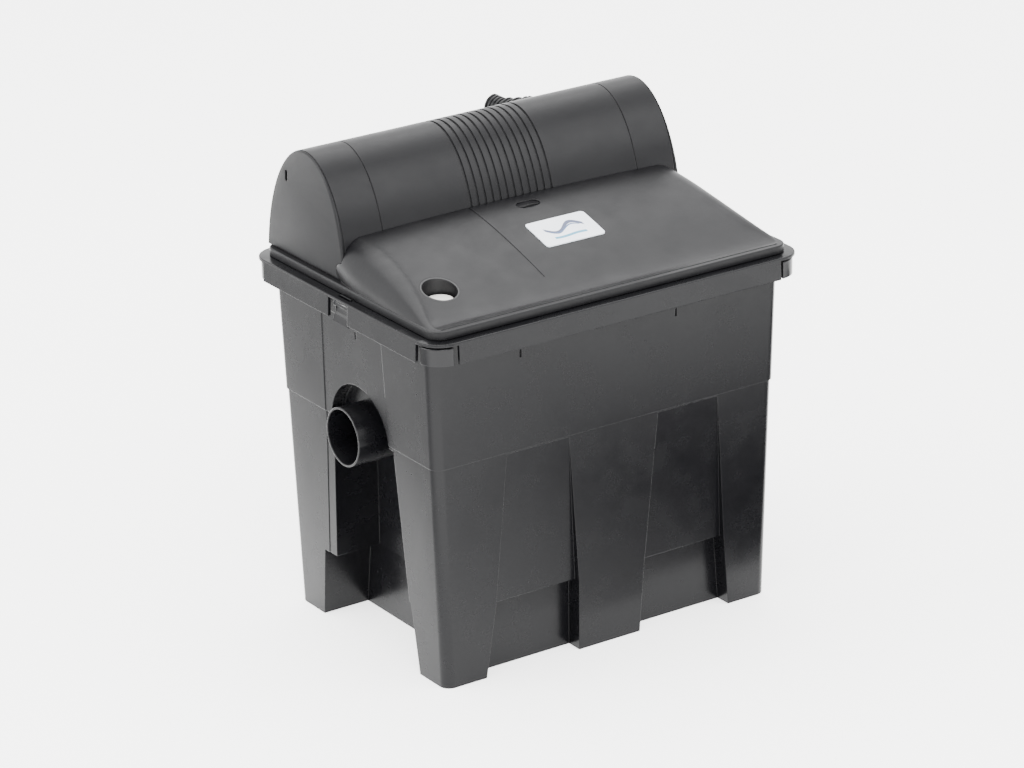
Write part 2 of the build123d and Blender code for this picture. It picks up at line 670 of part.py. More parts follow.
def lid():
    """Flange, rear deck, front dome and locating rib in one moulding."""
    hx, hy = RIM_LENGTH / 2 - LID_INSET, RIM_WIDTH / 2 - LID_INSET
    r = RIM_CORNER - LID_INSET
    plate = slab(LID_Z - LID_PLATE, LID_Z, hx, hy, r)
    edge = ring(LID_EDGE_Z, LID_Z, hx, hy, r, LID_EDGE)
    flange = plate + edge
    flange = fillet(flange.faces().sort_by(Axis.Z)[-1].edges(), 1.2)
    rib_x = half_x(RIM_Z) - WALL - 1.0
    rib_y = half_y(RIM_Z) - WALL - 1.0
    rib = ring(RIM_Z - LID_RIB_DEPTH, LID_Z - LID_PLATE + 0.5, rib_x, rib_y, BODY_CORNER - WALL, LID_RIB_WALL)
    shell = dome_solid(0.0, LID_Z - LID_PLATE)
    cavity = dome_solid(LID_WALL, LID_Z - 30)
    shell = shell - hood_envelope(HOOD_CLEAR)
    room = block(-rib_x + LID_RIB_WALL, rib_x - LID_RIB_WALL, -rib_y + LID_RIB_WALL,
                 HOOD_Y, LID_Z - LID_PLATE - 1, LID_Z + 60)
    solid = flange + rib + shell - (cavity & room)
    solid = solid - dome_groove()
    solid = solid - rod((SPOUT_X, LAMP_Y, LID_Z - 20), (SPOUT_X, LAMP_Y, LID_Z + 2), SPOUT_R + REST_GAP)
    solid = solid - rod((WELL_X, WELL_Y, LID_Z + 1), (WELL_X, WELL_Y, LID_Z + 60), WELL_R)
    top = dome_height(CATCH_Y)
    solid = solid - catch_outline(REST_GAP, top - 8, top + 4)
    return solid


def lid_seal():
    """Rubber seal under the lid's flange."""
    hx = half_x(RIM_Z) - WALL + 0.2 + SEAL_WIDTH
    hy = half_y(RIM_Z) - WALL + 0.2 + SEAL_WIDTH
    return ring(RIM_Z + REST_GAP, LID_Z - LID_PLATE, hx, hy, BODY_CORNER - WALL + SEAL_WIDTH, SEAL_WIDTH)


def label_plate():
    """Blank label that follows the dome's slope."""
    outline = Pos(LABEL_X, LABEL_Y, LID_Z) * RectangleRounded(LABEL_LENGTH, LABEL_WIDTH, LABEL_CORNER)
    prism = extrude(outline, 60)
    body = dome_solid(0.0, LID_Z - LID_PLATE)
    return (prism & (Pos(0, 0, LABEL_THICK) * body)) - body


def hood_catch():
    """Oval push catch in front of the lamp hood, flush with a scooped top."""
    top = dome_height(CATCH_Y)
    button = catch_outline(0.0, top - 7, top + 3)
    base = LID_Z - LID_PLATE
    body = dome_solid(0.0, base)
    low = button & (Pos(0, 0, -0.8) * body)
    crown = Pos(CATCH_X, CATCH_Y - 1.0, top - CATCH_CROWN_R + 0.9) * Sphere(CATCH_CROWN_R)
    return low + (button & crown)


def indicator_well():
    """Cup in the dome that guides the indicator."""
    cup = rod((WELL_X, WELL_Y, WELL_FLOOR_Z), (WELL_X, WELL_Y, LID_Z + 60), WELL_R)
    cup = cup & dome_solid(0.0, WELL_FLOOR_Z - 1)
    cup = cup - rod((WELL_X, WELL_Y, WELL_FLOOR_Z + WELL_WALL), (WELL_X, WELL_Y, LID_Z + 60),
                    WELL_R - WELL_WALL)
    return cup - rod((WELL_X, WELL_Y, WELL_FLOOR_Z - 2), (WELL_X, WELL_Y, WELL_FLOOR_Z + 5),
                     FLOAT_ROD_R + RUN_GAP)


def indicator_float():
    """Light disc on a rod, with a float body above the tray."""
    disc = rod((WELL_X, WELL_Y, FLOAT_DISC_Z - 3), (WELL_X, WELL_Y, FLOAT_DISC_Z), FLOAT_DISC_R)
    disc = fillet(disc.edges().group_by(Axis.Z)[-1], 0.8)
    low = TRAY_Z + TRAY_PLATE + 2
    stem = rod((WELL_X, WELL_Y, low + 6), (WELL_X, WELL_Y, FLOAT_DISC_Z - 2), FLOAT_ROD_R)
    body = rod((WELL_X, WELL_Y, low), (WELL_X, WELL_Y, low + 22), FLOAT_BODY_R)
    body = fillet(body.edges(), 2.5)
    return disc + stem + body


# ---------------------------------------------------------------- lamp hood
def hood_groove(x, width, depth):
    """Shallow groove around the hood's arch at x."""
    plane = Plane(origin=(x - width / 2, 0, 0), x_dir=(0, 1, 0), z_dir=(1, 0, 0))
    centre = Pos(HOOD_Y, HOOD_SPRING_Z)
    face = centre * Ellipse(HOOD_A + 3, HOOD_B + 3) - centre * Ellipse(HOOD_A - depth, HOOD_B - depth)
    return extrude(plane * face, width)


def hood():
    """Tunnel-shaped cover over the lamp unit, ribbed in the middle."""
    outer = hood_envelope(0.0)
    ends = outer.faces().filter_by(lambda f: abs(f.normal_at().X) > 0.9)
    arcs = [e for f in ends for e in f.edges() if e.geom_type != GeomType.LINE]
    outer = fillet(arcs, HOOD_FILLET)
    for k in range(RIB_COUNT):
        x = (k - (RIB_COUNT - 1) / 2) * RIB_PITCH
        outer = outer - hood_groove(x, RIB_GROOVE, RIB_DEPTH)
    for x in SEAM_X:
        outer = outer - hood_groove(x, SEAM_WIDTH, SEAM_DEPTH) - hood_groove(-x, SEAM_WIDTH, SEAM_DEPTH)
    solid = outer - hood_envelope(-HOOD_WALL)
    slot_face = SlotOverall(9.5, 3.6, rotation=90)
    plane = Plane(origin=(-HOOD_HALF - 5, HOOD_SLOT_Y, HOOD_SLOT_Z), x_dir=(0, 1, 0), z_dir=(1, 0, 0))
    for cut in both_ends(extrude(plane * slot_face, 15)):
        solid = solid - cut
    for x, z, r in ((INLET_SLOT_X, INLET_SLOT_Z, INLET_SLOT_R), (GLAND_X, LAMP_Z, GLAND_R + 1.5)):
        solid = solid - rod((x, HOOD_Y, z), (x, HOOD_Y + 90, z), r)
        solid = solid - block(x - r, x + r, HOOD_Y, HOOD_Y + 90, LID_Z - 5, z)
    return solid


# ---------------------------------------------------------------- lamp unit
def uvc_housing():
    """Water jacket of the lamp, with the inlet and outlet ports."""
    x0, x1 = HOUSING_X
    inner = HOUSING_R - HOUSING_WALL
    solid = rod((x0, LAMP_Y, LAMP_Z), (x1, LAMP_Y, LAMP_Z), HOUSING_R)
    solid = fillet(solid.edges().group_by(Axis.X)[-1], 3.0)
    solid = solid + rod(inlet_point(10), inlet_point(THREAD_END), INLET_R)
    solid = solid + rod(inlet_point(THREAD_START), inlet_point(THREAD_END), THREAD_R)
    solid = solid + rod(inlet_point(THREAD_START - 4), inlet_point(THREAD_START), INLET_R + 1.2)
    solid = solid + rod((SPOUT_X, LAMP_Y, LAMP_Z), (SPOUT_X, LAMP_Y, LID_Z), SPOUT_R + 4)
    solid = solid - rod((x0 - 1, LAMP_Y, LAMP_Z), (x1 - HOUSING_WALL, LAMP_Y, LAMP_Z), inner)
    solid = solid - rod(inlet_point(0), inlet_point(THREAD_END + 1), INLET_BORE_R)
    return solid - rod((SPOUT_X, LAMP_Y, LAMP_Z), (SPOUT_X, LAMP_Y, LID_Z - 2), SPOUT_R)


def uvc_spout():
    """Pipe that leads the water from the lamp unit down into the container."""
    top = LAMP_Z - HOUSING_R + 3
    return tube((SPOUT_X, LAMP_Y, SPOUT_Z), (SPOUT_X, LAMP_Y, top), SPOUT_R, SPOUT_R - SPOUT_WALL)


def uvc_saddles():
    """Two saddles that hold the lamp unit on the lid's deck."""
    parts = []
    for x in SADDLE_X:
        foot = block(x - SADDLE_LENGTH / 2, x + SADDLE_LENGTH / 2, LAMP_Y - 26, LAMP_Y + 26, LID_Z, LAMP_Z - 18)
        parts.append(foot - rod((x - 20, LAMP_Y, LAMP_Z), (x + 20, LAMP_Y, LAMP_Z), HOUSING_R))
    return Compound(children=[p for p in parts])


def quartz_sleeve():
    """Closed quartz tube around the lamp."""
    x0, x1 = HOUSING_X[0] + 1.5, HOUSING_X[1] - 22
    outer = rod((x0, LAMP_Y, LAMP_Z), (x1, LAMP_Y, LAMP_Z), QUARTZ_R)
    outer = outer + Pos(x1, LAMP_Y, LAMP_Z) * Sphere(QUARTZ_R)
    inner_r = QUARTZ_R - QUARTZ_WALL
    inner = rod((x0 - 1, LAMP_Y, LAMP_Z), (x1, LAMP_Y, LAMP_Z), inner_r)
    return outer - (inner + Pos(x1, LAMP_Y, LAMP_Z) * Sphere(inner_r))


def uvc_lamp():
    """Lamp tube with its end base."""
    x0, x1 = HOUSING_X[0] - 2, HOUSING_X[1] - 34
    glass = rod((x0 + 20, LAMP_Y, LAMP_Z), (x1, LAMP_Y, LAMP_Z), TUBE_R)
    glass = fillet(glass.edges().group_by(Axis.X)[-1], 5.0)
    base = rod((x0, LAMP_Y, LAMP_Z), (x0 + 22, LAMP_Y, LAMP_Z), TUBE_R + 1.5)
    return glass + base


def lamp_socket():
    """Socket in the lamp head that the lamp plugs into."""
    x0 = HOUSING_X[0] - 18
    x1 = HOUSING_X[0] - 2
    return rod((x0, LAMP_Y, LAMP_Z), (x1, LAMP_Y, LAMP_Z), TUBE_R + 2.0)


def sleeve_seal():
    """Rubber ring that seals the quartz sleeve in the lamp head."""
    x = HOUSING_X[0] + 1.5
    return tube((x, LAMP_Y, LAMP_Z), (x + 5, LAMP_Y, LAMP_Z), QUARTZ_R + 4.5, QUARTZ_R)


def head_solid():
    """Outer shape of the lamp head, with grip flutes."""
    x1 = HOUSING_X[0] - REST_GAP
    x0 = x1 - HEAD_LENGTH
    head = rod((x0, LAMP_Y, LAMP_Z), (x1, LAMP_Y, LAMP_Z), HEAD_R)
    head = fillet(head.edges().group_by(Axis.X)[0], 4.0)
    for k in range(14):
        a = math.radians(360 / 14 * k + 12)
        if abs(math.cos(a)) > 0.85:
            continue
        y, z = LAMP_Y + (HEAD_R + 1) * math.cos(a), LAMP_Z + (HEAD_R + 1) * math.sin(a)
        head = head - rod((x0 - 1, y, z), (x0 + 26, y, z), 3.0)
    return head


def lamp_head():
    """Electrical head that closes the lamp unit, with its plug collar."""
    x1 = HOUSING_X[0] - REST_GAP
    head = head_solid()
    head = head - rod((x1 - HEAD_LENGTH + 4, LAMP_Y, LAMP_Z), (x1 - 22, LAMP_Y, LAMP_Z), HEAD_R - 5)
    head = head - rod((x1 - 24, LAMP_Y, LAMP_Z), (x1 + 1, LAMP_Y, LAMP_Z), TUBE_R + 2.0)
    plug = tube((x1 - 1, LAMP_Y, LAMP_Z), (x1 + 9, LAMP_Y, LAMP_Z),
                HOUSING_R - HOUSING_WALL - RUN_GAP, QUARTZ_R + 4.5)
    boss = rod((GLAND_X, LAMP_Y + HEAD_R - 4, LAMP_Z), (GLAND_X, LAMP_Y + HEAD_R + GLAND_BOSS, LAMP_Z), GLAND_R)
    return head + plug + boss - rod((GLAND_X, LAMP_Y + 10, LAMP_Z), (GLAND_X, LAMP_Y + 60, LAMP_Z), GLAND_R - 2.5)


def cable_gland():
    """Gland for the mains lead on the lamp head; the lead itself is left out."""
    start = LAMP_Y + HEAD_R + GLAND_BOSS
    body = rod((GLAND_X, start - 5.5, LAMP_Z), (GLAND_X, start + 1, LAMP_Z), GLAND_R - 2.5)
    hexagon = Plane(origin=(GLAND_X, start, LAMP_Z), z_dir=(0, 1, 0)) * RegularPolygon(GLAND_R, 6)
    body = body + extrude(hexagon, 8)
    body = body + rod((GLAND_X, start + 7, LAMP_Z), (GLAND_X, GLAND_END_Y - 8, LAMP_Z), GLAND_R - 1.5)
    body = body + rod((GLAND_X, GLAND_END_Y - 9, LAMP_Z), (GLAND_X, GLAND_END_Y, LAMP_Z), GLAND_R - 0.5)
    return body - rod((GLAND_X, start - 7, LAMP_Z), (GLAND_X, GLAND_END_Y + 1, LAMP_Z), GLAND_BORE_R)


# ---------------------------------------------------------------- inlet
def inlet_axis():
    """Direction of the inlet, outwards."""
    turn, rise = math.radians(INLET_TURN), math.radians(INLET_RISE)
    return Vector(-math.sin(turn) * math.cos(rise), math.cos(turn) * math.cos(rise), math.sin(rise))


def inlet_point(s):
    """Point on the inlet's axis, s along it from the plane of the lamp's axis."""
    return tuple(Vector(INLET_X, LAMP_Y, INLET_Z) + inlet_axis() * s)


def inlet_gasket():
    """Flat ring between the port and the hose tail."""
    return tube(inlet_point(THREAD_END), inlet_point(TAIL_COLLAR[0] - REST_GAP), INLET_R + 2, INLET_BORE_R)


def union_nut():
    """Ribbed union nut that clamps the hose tail."""
    nut = rod(inlet_point(NUT_START), inlet_point(NUT_END), NUT_R)
    nut = nut - rod(inlet_point(NUT_START - 1), inlet_point(TAIL_COLLAR[1] + REST_GAP), THREAD_R + RUN_GAP)
    nut = nut - rod(inlet_point(NUT_START), inlet_point(NUT_END + 1), TAIL_STEPS[0][1] + RUN_GAP)
    plane = Plane(origin=inlet_point(NUT_START + 2.5), z_dir=inlet_axis())
    for k in range(18):
        b = math.radians(20 * k)
        grip = Pos((NUT_R + 0.9) * math.cos(b), (NUT_R + 0.9) * math.sin(b)) * Circle(1.7)
        nut = nut - extrude(plane * grip, NUT_END - NUT_START)
    return nut


def hose_tail():
    """Stepped hose tail for three hose sizes, with sealing rings on each step."""
    solid = rod(inlet_point(TAIL_COLLAR[0]), inlet_point(TAIL_COLLAR[1]), TAIL_COLLAR_R)
    solid = solid + rod(inlet_point(TAIL_COLLAR[0]), inlet_point(TAIL_STEPS[0][0] + 1), TAIL_STEPS[0][1])
    for start, r, length in TAIL_STEPS:
        solid = solid + rod(inlet_point(start), inlet_point(start + length), r - 0.9)
        for k in range(int((length - TAIL_RING) / TAIL_PITCH) + 1):
            s = start + length - TAIL_RING - k * TAIL_PITCH
            solid = solid + rod(inlet_point(s), inlet_point(s + TAIL_RING), r)
    bore = TAIL_STEPS[-1][1] - TAIL_WALL
    end = TAIL_STEPS[-1][0] + TAIL_STEPS[-1][2]
    return solid - rod(inlet_point(TAIL_COLLAR[0] - 1), inlet_point(end + 1), bore)


# ---------------------------------------------------------------- filter media
def base_grate():
    """Slotted grate on short legs above the sump."""
    plate = block(-GRATE_HALF_X, GRATE_HALF_X, -GRATE_HALF_Y, GRATE_HALF_Y, GRATE_Z, GRATE_Z + GRATE_PLATE)
    slots = []
    for i in range(13):
        x = -96 + 16 * i
        for y in (-60, 0, 60):
            slots.append(block(x - 5, x + 5, y - 24, y + 24, GRATE_Z - 1, GRATE_Z + GRATE_PLATE + 1))
    plate = plate - slots
    for x in (-98, 0, 98):
        for y in (-88, 88):
            plate = plate + block(x - 4, x + 4, y - 4, y + 4, FLOOR_Z, GRATE_Z + 1)
    return plate


def foam_x(index):
    """Middle of one foam pad along X."""
    return (index - (FOAM_COUNT - 1) / 2) * FOAM_PITCH + FOAM_SHIFT


def foam_base():
    """Underside of the foam pads."""
    return GRATE_Z + GRATE_PLATE + RETAINER_PLATE


def filter_foam(index):
    """One foam pad with two rod holes."""
    x = foam_x(index)
    z0 = foam_base()
    z1 = z0 + FOAM_HEIGHT
    solid = block(x - FOAM_THICK / 2, x + FOAM_THICK / 2, -FOAM_WIDTH / 2, FOAM_WIDTH / 2, z0, z1)
    for y in (-ROD_Y, ROD_Y):
        solid = solid - rod((x, y, z0 - 1), (x, y, z1 + 1), ROD_R + ROD_GAP)
    return solid


def foam_retainer(index):
    """Bottom plate, two rods, top bar and pull handle of one foam pad."""
    x = foam_x(index)
    z0 = foam_base()
    z1 = z0 + FOAM_HEIGHT
    half = FOAM_THICK / 2 - 1
    wide = FOAM_WIDTH / 2 - 2
    solid = block(x - half, x + half, -wide, wide, z0 - RETAINER_PLATE, z0)
    for i in range(5):
        y = (i - 2) * 26
        solid = solid - block(x - half + 5, x + half - 5, y - 8, y + 8, z0 - 4, z0 + 1)
    for y in (-ROD_Y, ROD_Y):
        solid = solid + rod((x, y, z0 - 1), (x, y, z1 + HANDLE_RISE), ROD_R)
        solid = solid + block(x - half, x + half, y - 6, y + 6, z0 - RETAINER_PLATE, z0)
    solid = solid + block(x - half + 8, x + half - 8, -ROD_Y - 14, ROD_Y + 14, z1, z1 + RETAINER_PLATE)
    grip = rod((x, -ROD_Y, z1 + HANDLE_RISE), (x, ROD_Y, z1 + HANDLE_RISE), ROD_R)
    return solid + grip + Pos(x, -ROD_Y, z1 + HANDLE_RISE) * Sphere(ROD_R) \
        + Pos(x, ROD_Y, z1 + HANDLE_RISE) * Sphere(ROD_R)


def outlet_baffle():
    """Upright plate that makes the water pass the foams before the outlet."""
    x1 = foam_x(0) - FOAM_THICK / 2 - 1.0
    x0 = x1 - BAFFLE_PLATE
    top = TRAY_Z - 4
    plate = block(x0, x1, -GRATE_HALF_Y + 1, GRATE_HALF_Y - 1, GRATE_Z + GRATE_PLATE, top)
    for y in (-GRATE_HALF_Y + 1, GRATE_HALF_Y - 1 - BAFFLE_PLATE):
        plate = plate + block(x0, x0 + 14, y, y + BAFFLE_PLATE, GRATE_Z + GRATE_PLATE, top) \
            - block(x1, x0 + 15, y - 1, y + BAFFLE_PLATE + 1, GRATE_Z, foam_base() + FOAM_HEIGHT + 4)
    return plate


def spray_tray():
    """Perforated tray that spreads the water over the foams."""
    hx = half_x(TRAY_Z) - WALL - 0.6
    hy = half_y(TRAY_Z) - WALL - 0.6
    r = BODY_CORNER - WALL
    solid = slab(TRAY_Z, TRAY_Z + TRAY_PLATE, hx, hy, r) + ring(TRAY_Z, TRAY_Z + TRAY_EDGE, hx, hy, r, 2.0)
    holes = []
    for i in range(13):
        for j in range(9):
            x, y = -96 + 16 * i, -80 + 20 * j
            holes.append(Pos(x, y, TRAY_Z) * Cylinder(3.2, 12))
    return solid - holes


# ---------------------------------------------------------------- output
def pieces():
    """Every node name with its shape."""
    nodes = {
        "container": container(),
        "corner_caps": corner_caps(),
        "latch_left": latch(-1),
        "latch_right": latch(1),
        "latch_pin_left": latch_pin(-1),
        "latch_pin_right": latch_pin(1),
        "outlet_pipe": outlet_pipe(),
        "outlet_gasket": outlet_gasket(),
        "outlet_lock_nut": outlet_lock_nut(),
        "drain_socket": drain_socket(),
        "drain_gasket": drain_gasket(),
        "drain_cap": drain_cap(),
        "lid": lid(),
        "lid_seal": lid_seal(),
        "label_plate": label_plate(),
        "hood_catch": hood_catch(),
        "indicator_well": indicator_well(),
        "indicator_float": indicator_float(),
        "lamp_hood": hood(),
        "uvc_housing": uvc_housing(),
        "uvc_spout": uvc_spout(),
        "uvc_saddles": uvc_saddles(),
        "quartz_sleeve": quartz_sleeve(),
        "uvc_lamp": uvc_lamp(),
        "lamp_socket": lamp_socket(),
        "sleeve_seal": sleeve_seal(),
        "lamp_head": lamp_head(),
        "cable_gland": cable_gland(),
        "inlet_gasket": inlet_gasket(),
        "union_nut": union_nut(),
        "hose_tail": hose_tail(),
        "base_grate": base_grate(),
        "outlet_baffle": outlet_baffle(),
        "spray_tray": spray_tray(),
    }
    for index in range(FOAM_COUNT):
        kind = "coarse" if index >= FOAM_COUNT - 2 else "fine"
        nodes[f"{kind}_foam_{index + 1}"] = filter_foam(index)
        nodes[f"foam_retainer_{index + 1}"] = foam_retainer(index)
    return nodes


os.makedirs(OUT, exist_ok=True)
for name, shape in pieces().items():
    export_step(shape, f"{OUT}/{name}.step")
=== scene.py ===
"""Looks of the box pond filter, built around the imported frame. Metres, +Z up."""

import json
import math

import bmesh
import bpy
from mathutils import Matrix, Vector, noise

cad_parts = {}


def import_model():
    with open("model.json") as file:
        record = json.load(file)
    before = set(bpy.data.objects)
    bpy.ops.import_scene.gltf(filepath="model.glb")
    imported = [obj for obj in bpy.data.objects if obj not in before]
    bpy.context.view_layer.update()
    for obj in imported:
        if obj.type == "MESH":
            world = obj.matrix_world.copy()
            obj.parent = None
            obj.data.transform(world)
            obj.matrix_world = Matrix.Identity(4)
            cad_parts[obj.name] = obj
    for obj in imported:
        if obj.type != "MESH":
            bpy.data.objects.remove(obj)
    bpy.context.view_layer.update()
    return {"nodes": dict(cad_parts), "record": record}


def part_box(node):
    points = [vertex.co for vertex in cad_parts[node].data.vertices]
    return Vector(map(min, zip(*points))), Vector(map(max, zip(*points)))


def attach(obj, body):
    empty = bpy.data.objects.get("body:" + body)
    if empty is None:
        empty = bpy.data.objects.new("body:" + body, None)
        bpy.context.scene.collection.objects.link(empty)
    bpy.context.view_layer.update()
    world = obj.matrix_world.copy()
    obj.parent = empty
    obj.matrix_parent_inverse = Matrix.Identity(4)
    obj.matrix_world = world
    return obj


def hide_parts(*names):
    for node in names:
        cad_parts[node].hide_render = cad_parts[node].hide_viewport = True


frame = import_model()
NODES = frame["nodes"]
MM = 0.001
PAD_VOXEL = 3.2 * MM
PAD_MIN, PAD_RAGGED, PAD_PULL = 0.3 * MM, 0.7 * MM, 0.8 * MM
PAD_RAGGED_SCALE, PAD_PULL_SCALE = 260.0, 28.0
WELD_DISTANCE = 0.00001
CORNER_ANGLE = math.radians(24)
CAMERA_TURN = (33.537, -21.696, -1.248)         # yaw, pitch and roll, in degrees
CAMERA_PLACE = (-1.85803, -2.77792, 1.52234)
CAMERA_LENS, CAMERA_SENSOR = 152.18, 36.0       # millimetres
WORLD_STRENGTH = 3.5
FLOOR_GLOW = 2.0


# ---------------------------------------------------------------- node tree helpers
class Tree:
    """Small wrapper that adds and links shader nodes."""

    def __init__(self, name):
        self.mat = bpy.data.materials.new(name)
        self.mat.use_nodes = True
        self.nodes = self.mat.node_tree.nodes
        self.links = self.mat.node_tree.links
        self.nodes.clear()
        self.out = self.add("ShaderNodeOutputMaterial")
        self.bsdf = self.add("ShaderNodeBsdfPrincipled")
        self.links.new(self.bsdf.outputs[0], self.out.inputs[0])
        self.coords = self.add("ShaderNodeTexCoord").outputs["Object"]

    def add(self, kind, **values):
        node = self.nodes.new(kind)
        for key, value in values.items():
            setattr(node, key, value)
        return node

    def link(self, a, b):
        self.links.new(a, b)

    def noise(self, scale, detail=4.0, rough=0.55, stretch=None):
        node = self.add("ShaderNodeTexNoise")
        node.inputs["Scale"].default_value = scale
        node.inputs["Detail"].default_value = detail
        node.inputs["Roughness"].default_value = rough
        source = self.coords
        if stretch:
            mapping = self.add("ShaderNodeMapping")
            mapping.inputs["Scale"].default_value = stretch
            self.link(self.coords, mapping.inputs["Vector"])
            source = mapping.outputs[0]
        self.link(source, node.inputs["Vector"])
        return node.outputs["Fac"]

    def ramp(self, fac, stops):
        node = self.add("ShaderNodeValToRGB")
        elements = node.color_ramp.elements
        while len(elements) < len(stops):
            elements.new(0.5)
        for element, (at, value) in zip(elements, stops):
            element.position = at
            element.color = (*value, 1) if isinstance(value, tuple) else (value, value, value, 1)
        self.link(fac, node.inputs[0])
        return node.outputs[0]

    def remap(self, fac, low, high, in_low=0.3, in_high=0.7):
        node = self.add("ShaderNodeMapRange")
        for slot, value in zip(("From Min", "From Max", "To Min", "To Max"), (in_low, in_high, low, high)):
            node.inputs[slot].default_value = value
        self.link(fac, node.inputs["Value"])
        return node.outputs[0]

    def mix(self, fac, a, b, mode="MIX"):
        node = self.add("ShaderNodeMix", data_type="RGBA", blend_type=mode)
        for slot, value in ((0, fac), (6, a), (7, b)):
            if hasattr(value, "is_linked"):
                self.link(value, node.inputs[slot])
            elif isinstance(value, tuple):
                node.inputs[slot].default_value = (*value, 1)
            else:
                node.inputs[slot].default_value = value
        return node.outputs[2]

    def math(self, op, a, b=0.0):
        node = self.add("ShaderNodeMath", operation=op)
        for slot, value in enumerate((a, b)):
            if hasattr(value, "is_linked"):
                self.link(value, node.inputs[slot])
            else:
                node.inputs[slot].default_value = value
        return node.outputs[0]

    def edges(self, radius):
        """0 on flat areas, rising on convex and concave edges."""
        bevel = self.add("ShaderNodeBevel", samples=6)
        bevel.inputs["Radius"].default_value = radius
        flat = self.add("ShaderNodeNewGeometry")
        dot = self.add("ShaderNodeVectorMath", operation="DOT_PRODUCT")
        self.link(bevel.outputs[0], dot.inputs[0])
        self.link(flat.outputs["Normal"], dot.inputs[1])
        return self.remap(dot.outputs["Value"], 1.0, 0.0, 0.72, 0.995), bevel.outputs[0]

    def bump(self, height, strength, distance, normal=None):
        node = self.add("ShaderNodeBump")
        node.inputs["Strength"].default_value = strength
        node.inputs["Distance"].default_value = distance
        self.link(height, node.inputs["Height"])
        if normal is not None:
            self.link(normal, node.inputs["Normal"])
        return node.outputs[0]


def moulded(name, dark, light, rough, grain, grain_size, edge_radius=0.8 * MM, dust=0.05, spec=0.5):
    """Injection-moulded plastic: grain, flow marks, glossier edges with a painted highlight lightening
    their colour, and a little dust.
    """
    t = Tree(name)
    flow = t.noise(9.0, 3.0, 0.5, (1.0, 1.0, 0.35))
    patch = t.noise(38.0, 5.0, 0.6)
    fine = t.noise(grain_size, 2.0, 0.5)
    scuff = t.noise(140.0, 6.0, 0.75, (0.25, 1.0, 1.0))
    edge_highlight, round_normal = t.edges(edge_radius)
    base = t.ramp(flow, [(0.3, dark), (0.72, light)])
    base = t.mix(t.remap(patch, 0.0, 0.35), base, tuple(c * 1.22 for c in light))
    # painted highlight: the edge mask lightens the base colour along edges and corners
    base = t.mix(t.math("MULTIPLY", edge_highlight, 0.30), base, tuple(min(c * 2.4, 1.0) for c in light))
    geometry = t.add("ShaderNodeNewGeometry")
    split = t.add("ShaderNodeSeparateXYZ")
    t.link(geometry.outputs["Normal"], split.inputs[0])
    up = t.remap(split.outputs["Z"], 0.0, 1.0, 0.55, 1.0)
    settled = t.math("MULTIPLY", up, t.remap(scuff, 0.0, dust, 0.30, 0.80))
    base = t.mix(settled, base, (0.34, 0.33, 0.31))
    t.link(base, t.bsdf.inputs["Base Color"])
    gloss = t.math("ADD", t.remap(patch, rough - 0.05, rough + 0.06), t.math("MULTIPLY", edge_highlight, -0.08))
    t.link(t.math("ADD", gloss, t.remap(scuff, 0.0, 0.03, 0.35, 0.75)), t.bsdf.inputs["Roughness"])
    t.bsdf.inputs["Specular IOR Level"].default_value = spec
    mixed = t.math("ADD", t.math("MULTIPLY", fine, 0.6), t.math("MULTIPLY", flow, 2.5))
    t.link(t.bump(mixed, grain, 0.12 * MM, round_normal), t.bsdf.inputs["Normal"])
    return t.mat


def rubber(name, tone):
    t = Tree(name)
    fine = t.noise(900.0, 3.0)
    base = t.ramp(t.noise(60.0, 4.0), [(0.3, tone), (0.7, tone * 1.7)])
    t.link(base, t.bsdf.inputs["Base Color"])
    t.link(t.remap(fine, 0.62, 0.8), t.bsdf.inputs["Roughness"])
    t.link(t.bump(fine, 0.3, 0.1 * MM), t.bsdf.inputs["Normal"])
    return t.mat


def foam(name, dark, light, cell):
    """Open-cell foam: round pores of two sizes, with painted shade darkening the sunken cell borders and
    the small pores.
    """
    t = Tree(name)
    pores = t.add("ShaderNodeTexVoronoi", feature="F1")
    pores.inputs["Scale"].default_value = cell
    t.link(t.coords, pores.inputs["Vector"])
    small = t.noise(cell * 2.3, 3.0)
    pore_depth_shade = t.remap(pores.outputs["Distance"], 0.0, 1.0, 0.1, 0.7)
    # painted shade: colour darkened where the cells sink, then in the small pores
    base = t.mix(pore_depth_shade, light, dark)
    base = t.mix(t.remap(small, 0.0, 0.5), base, dark)
    t.link(base, t.bsdf.inputs["Base Color"])
    t.bsdf.inputs["Roughness"].default_value = 0.95
    t.link(t.bump(t.math("MULTIPLY", pore_depth_shade, -1.0), 1.0, 1.2 * MM), t.bsdf.inputs["Normal"])
    return t.mat


def metal(name, tone, rough):
    t = Tree(name)
    lines = t.noise(300.0, 3.0, 0.6, (1.0, 0.05, 1.0))
    t.link(t.ramp(lines, [(0.3, tone * 0.75), (0.7, tone)]), t.bsdf.inputs["Base Color"])
    t.bsdf.inputs["Metallic"].default_value = 1.0
    t.link(t.remap(lines, rough - 0.07, rough + 0.08), t.bsdf.inputs["Roughness"])
    t.link(t.bump(lines, 0.15, 0.05 * MM), t.bsdf.inputs["Normal"])
    return t.mat


def glass(name, tint, rough):
    t = Tree(name)
    haze = t.noise(120.0, 4.0)
    t.bsdf.inputs["Base Color"].default_value = (*tint, 1)
    t.bsdf.inputs["Transmission Weight"].default_value = 0.9
    t.bsdf.inputs["IOR"].default_value = 1.46
    t.link(t.remap(haze, rough, rough + 0.08), t.bsdf.inputs["Roughness"])
    return t.mat


# generic mark: (height, swing, rate, half width, reach, ink), all in half label sizes
MARK = (
    (0.14, 0.30, 5.2, 0.13, 0.66, (0.002, 0.016, 0.075)),
    (0.02, 0.22, 5.2, 0.05, 0.54, (0.004, 0.05, 0.16)),
    (-0.52, 0.04, 5.2, 0.09, 0.56, (0.02, 0.22, 0.34)),
)


